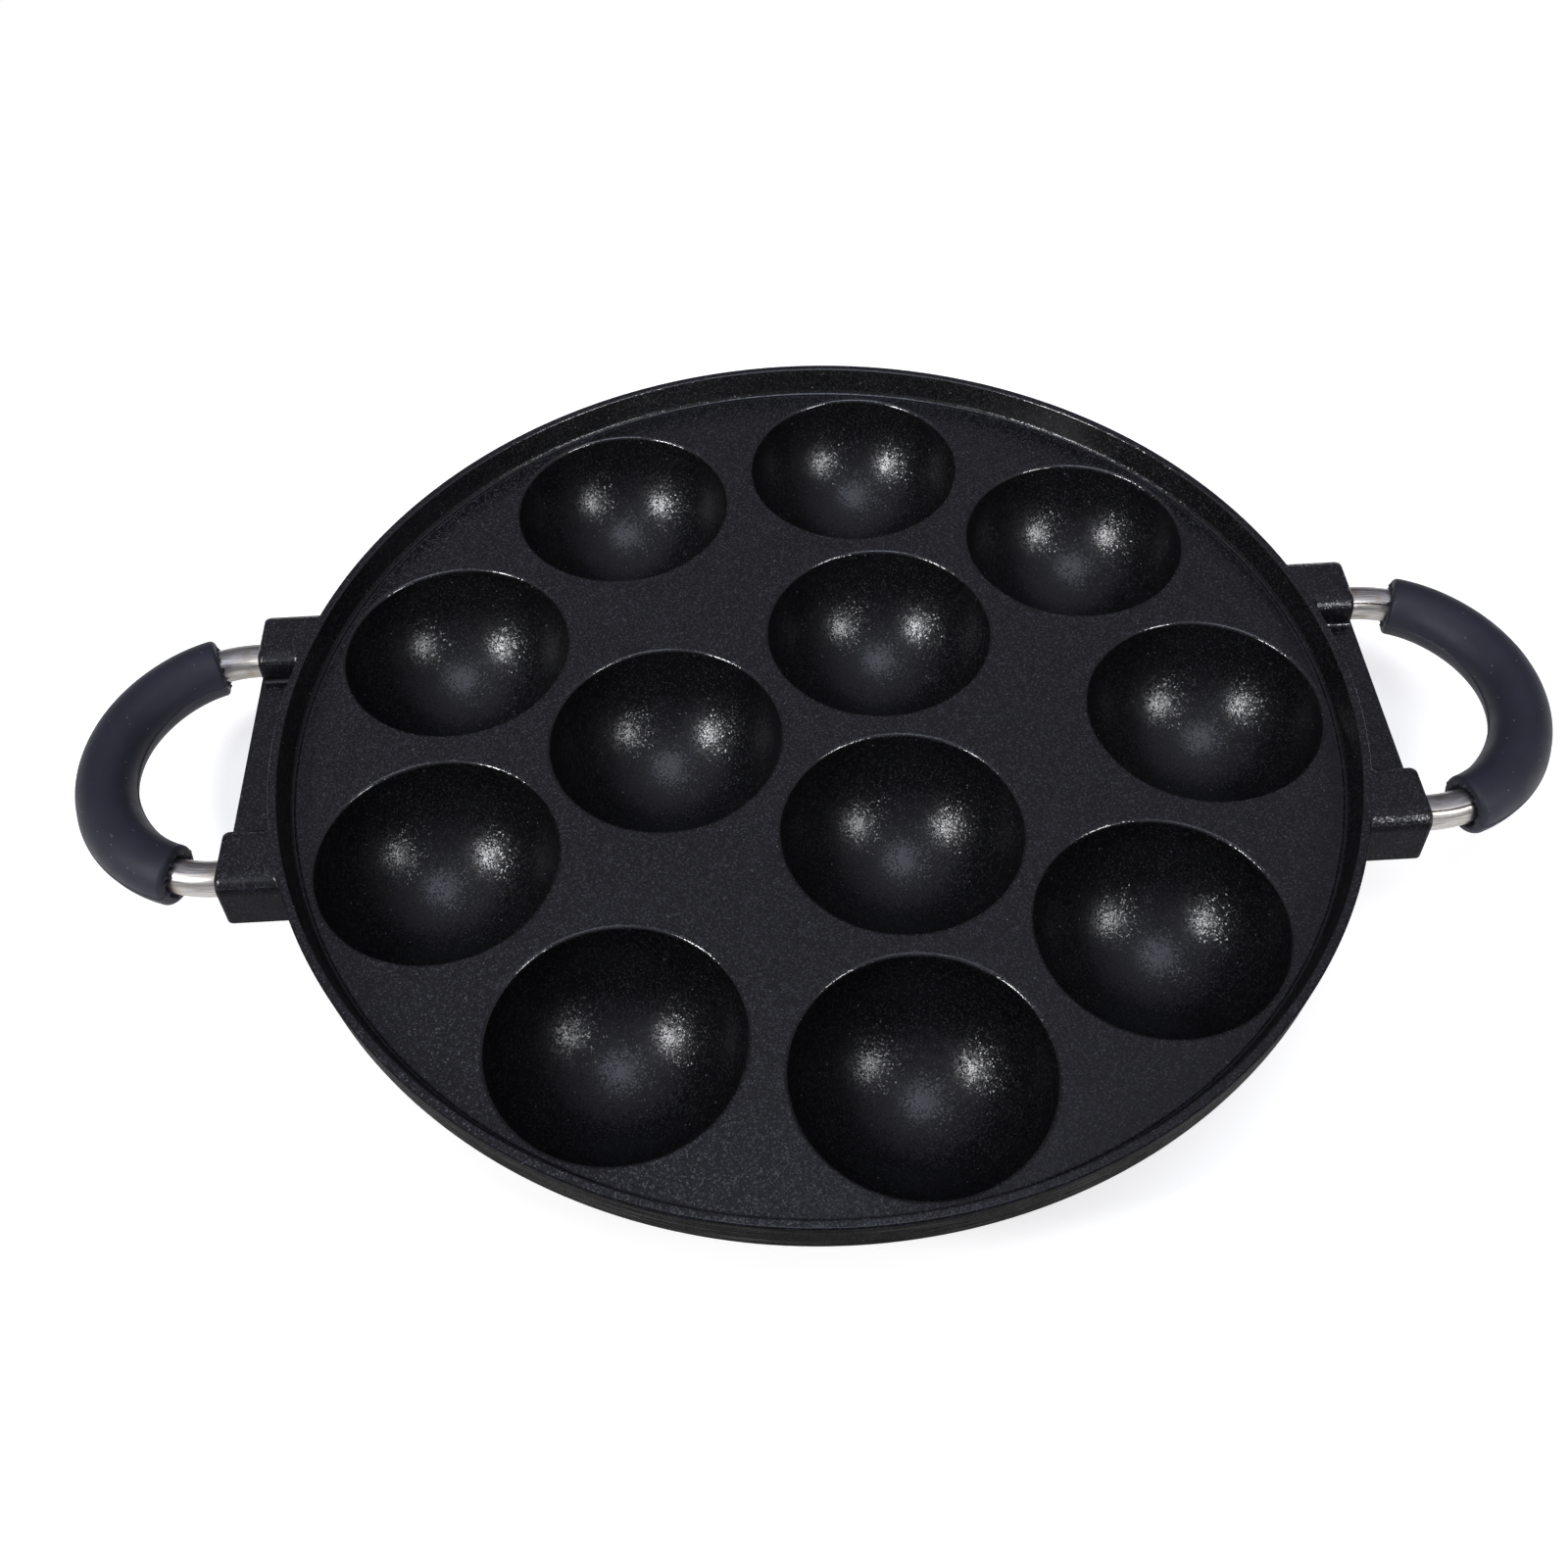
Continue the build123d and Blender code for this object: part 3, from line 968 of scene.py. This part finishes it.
siliconeLook = {
    "dark": (0.0112, 0.0113, 0.0195, 1),
    "light": (0.0156, 0.0158, 0.0267, 1),
    "patches": (9 * mm, 0.0, 1.0),
    "dust": (0.12, 0.12, 0.14, 1),
    "dustPitch": 0.45 * mm,
    "dustShare": 0.006,
    "ior": 1.42,
    "rough": (5 * mm, 0.5, 0.62),
    "grainSize": 0.25 * mm,
    "grainWaviness": 0.8,
    "grainDepth": 0.03 * mm,
}


def siliconeMaterial():
    material, tree, shader = newMaterial("darkSilicone")
    place = objectPlace(tree)
    dust = specks(tree, place, siliconeLook["dustPitch"], siliconeLook["dustShare"])
    colour = mixColour(tree, dust, patched(tree, place, siliconeLook), siliconeLook["dust"])
    size, waviness = siliconeLook["grainSize"], siliconeLook["grainWaviness"]
    inputs = {"Vector": place, "Size": size, "Waviness": waviness}
    grain = useGroup(tree, "grain", inputs)["Height"]
    inputs = {"Height": grain, "Strength": 1.0, "Distance": siliconeLook["grainDepth"]}
    bump = addNode(tree, "ShaderNodeBump", inputs)
    tree.links.new(colour, shader.inputs["Base Color"])
    tree.links.new(vary(tree, place, siliconeLook["rough"]), shader.inputs["Roughness"])
    tree.links.new(bump.outputs[0], shader.inputs["Normal"])
    shader.inputs["IOR"].default_value = siliconeLook["ior"]
    return material


pinLook = {
    "dark": (0.30, 0.30, 0.31, 1),
    "light": (0.45, 0.45, 0.46, 1),
    "patches": (0.8 * mm, 0.0, 1.0),
    "rough": (0.5 * mm, 0.3, 0.5),
}


def pinMaterial():
    material, tree, shader = newMaterial("springSteel")
    place = objectPlace(tree)
    tree.links.new(patched(tree, place, pinLook), shader.inputs["Base Color"])
    tree.links.new(vary(tree, place, pinLook["rough"]), shader.inputs["Roughness"])
    shader.inputs["Metallic"].default_value = 1.0
    return material


pan = buildCasting()
print("casting built, faces:", len(pan.data.polygons))
pan.data.materials.clear()
for name, finish in finishes.items():
    pan.data.materials.append(coatingMaterial(name, finish))
for face in pan.data.polygons:
    face.material_index = list(finishes).index(finishOf(face))
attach(pan, "root")
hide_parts("pan_body")

steel, silicone, springSteel = steelMaterial(), siliconeMaterial(), pinMaterial()
rightTube, rightGrip = buildTube(), buildSleeve()
handles = {
    "right_handle_tube": (rightTube, steel, "handle_steel"),
    "right_grip_sleeve": (rightGrip, silicone, "sleeve_silicone"),
    "left_handle_tube": (mirrored("leftHandleTube", rightTube), steel, "handle_steel"),
    "left_grip_sleeve": (mirrored("leftGrip", rightGrip), silicone, "sleeve_silicone"),
}
for node, (piece, material, slot) in handles.items():
    piece.data.materials.clear()
    piece.data.materials.append(material)
    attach(piece, "root")
    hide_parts(node)
print("handles built:", len(handles))

for name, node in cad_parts.items():
    if name.endswith("_pin"):
        node.data.materials.clear()
        node.data.materials.append(springSteel)


studio = {
    "floorSize": 6.0,
    "floorColour": (0.84, 0.83, 0.79, 1),
    "floorRough": 0.9,
    "floorLift": 0.62,              # added where the floor is seen, so that it reads as white
    "wallLevel": 1.0,               # pale walls in front and at both sides
    "backLevel": 0.15,              # and a dim one behind
    "backTurn": (0.1, 0.7),         # a heading's rearward part, where one becomes the other
    "wallTop": 0.16,                # sine of the elevation at which the walls end
    "gapLevel": 0.2,                # between the walls and the ceiling
    "ceilingStart": 0.45,           # sine of the elevation at which the ceiling's glow begins
    "ceilingLevel": 0.62,
    "ceilingColour": (0.82, 0.82, 1, 1),
    "lamps": {                      # places in mm, from the middle of the plate
        "rightBox": {
            "spot": (371, -294, 298), "aim": (-110, 400, 0), "spread": radians(80),
            "watts": 0.33, "size": 0.13, "colour": (0.97, 0.98, 1),
        },
        "leftBox": {
            "spot": (-443, -266, 354), "aim": (330, 400, 0), "spread": radians(78),
            "watts": 0.68, "size": 0.13, "colour": (0.97, 0.98, 1),
        },
        "overheadBox": {
            "spot": (15, -95, 799), "aim": (0, 0, 0), "spread": radians(180),
            "watts": 1.2, "size": 0.42, "colour": (0.78, 0.86, 1),
        },
    },
}
view = {
    "spot": Vector((-13.71, -250.29, 304.65)) * mm,     # from the middle of the plate
    "heading": Vector((0.01355, 0.60883, -0.79318)),
    "roll": radians(-2.095),
    "lens": 37.175,
    "sensor": 36,
}


def seenDirectly(tree):
    # 1 for what the camera sees, also in a reflection or through glass
    rays = addNode(tree, "ShaderNodeLightPath").outputs
    seen = reckon(tree, "MAXIMUM", rays["Is Camera Ray"], rays["Is Glossy Ray"])
    return reckon(tree, "MAXIMUM", seen, rays["Is Transmission Ray"])


def buildFloor():
    bm = bmesh.new()
    bmesh.ops.create_grid(bm, x_segments=1, y_segments=1, size=studio["floorSize"] / 2)
    floor = toObject(bm, "floor")
    material, tree, shader = newMaterial("paleFloor")
    shader.inputs["Base Color"].default_value = studio["floorColour"]
    shader.inputs["Roughness"].default_value = studio["floorRough"]
    shader.inputs["Emission Color"].default_value = (1, 1, 1, 1)
    lift = reckon(tree, "MULTIPLY", seenDirectly(tree), studio["floorLift"])
    tree.links.new(lift, shader.inputs["Emission Strength"])
    floor.data.materials.append(material)


def buildWorld():
    # pale walls up to a low height, then a gap, then a ceiling with a faint blue glow
    world = bpy.data.worlds.new("studio")
    world.use_nodes = True
    bpy.context.scene.world = world
    tree = world.node_tree
    heading = addNode(tree, "ShaderNodeTexCoord").outputs["Generated"]
    parts = addNode(tree, "ShaderNodeSeparateXYZ", {0: heading}).outputs
    top, start = studio["wallTop"], studio["ceilingStart"]
    gap, glow = studio["gapLevel"], studio["ceilingLevel"]
    sides = remap(tree, parts["Y"], *studio["backTurn"], studio["wallLevel"], studio["backLevel"])
    walls = remap(tree, parts["Z"], top / 2, top, sides, 0.0, "SMOOTHSTEP")
    ceiling = remap(tree, parts["Z"], start, 1.0, gap, glow, "SMOOTHSTEP")
    colour = mixColour(tree, walls, studio["ceilingColour"], (1, 1, 1, 1))
    background = tree.nodes["Background"].inputs
    tree.links.new(colour, background["Color"])
    tree.links.new(reckon(tree, "MAXIMUM", walls, ceiling), background["Strength"])


def buildLamps():
    plateMiddle = Vector((0, 0, plateZ))
    for name, lamp in studio["lamps"].items():
        light = bpy.data.lights.new(name, "AREA")
        light.shape = "DISK"
        light.size = lamp["size"]
        light.spread = lamp["spread"]
        light.energy = lamp["watts"]
        light.color = lamp["colour"]
        holder = bpy.data.objects.new(name, light)
        spot = Vector(lamp["spot"]) * mm + plateMiddle
        aim = Vector(lamp["aim"]) * mm + plateMiddle - spot
        turn = aim.to_track_quat("-Z", "Y").to_matrix().to_4x4()
        holder.matrix_world = Matrix.Translation(spot) @ turn
        bpy.context.scene.collection.objects.link(holder)


def buildCamera():
    data = bpy.data.cameras.new("camera")
    data.lens = view["lens"]
    data.sensor_width = view["sensor"]
    camera = bpy.data.objects.new("camera", data)
    aim = view["heading"].to_track_quat("-Z", "Y").to_matrix().to_4x4()
    spot = view["spot"] + Vector((0, 0, plateZ))
    camera.matrix_world = Matrix.Translation(spot) @ aim @ Matrix.Rotation(view["roll"], 4, "Z")
    bpy.context.scene.collection.objects.link(camera)
    bpy.context.scene.camera = camera


buildFloor()
buildWorld()
buildLamps()
buildCamera()
bpy.context.scene.view_settings.view_transform = "Standard"
print("stage set")
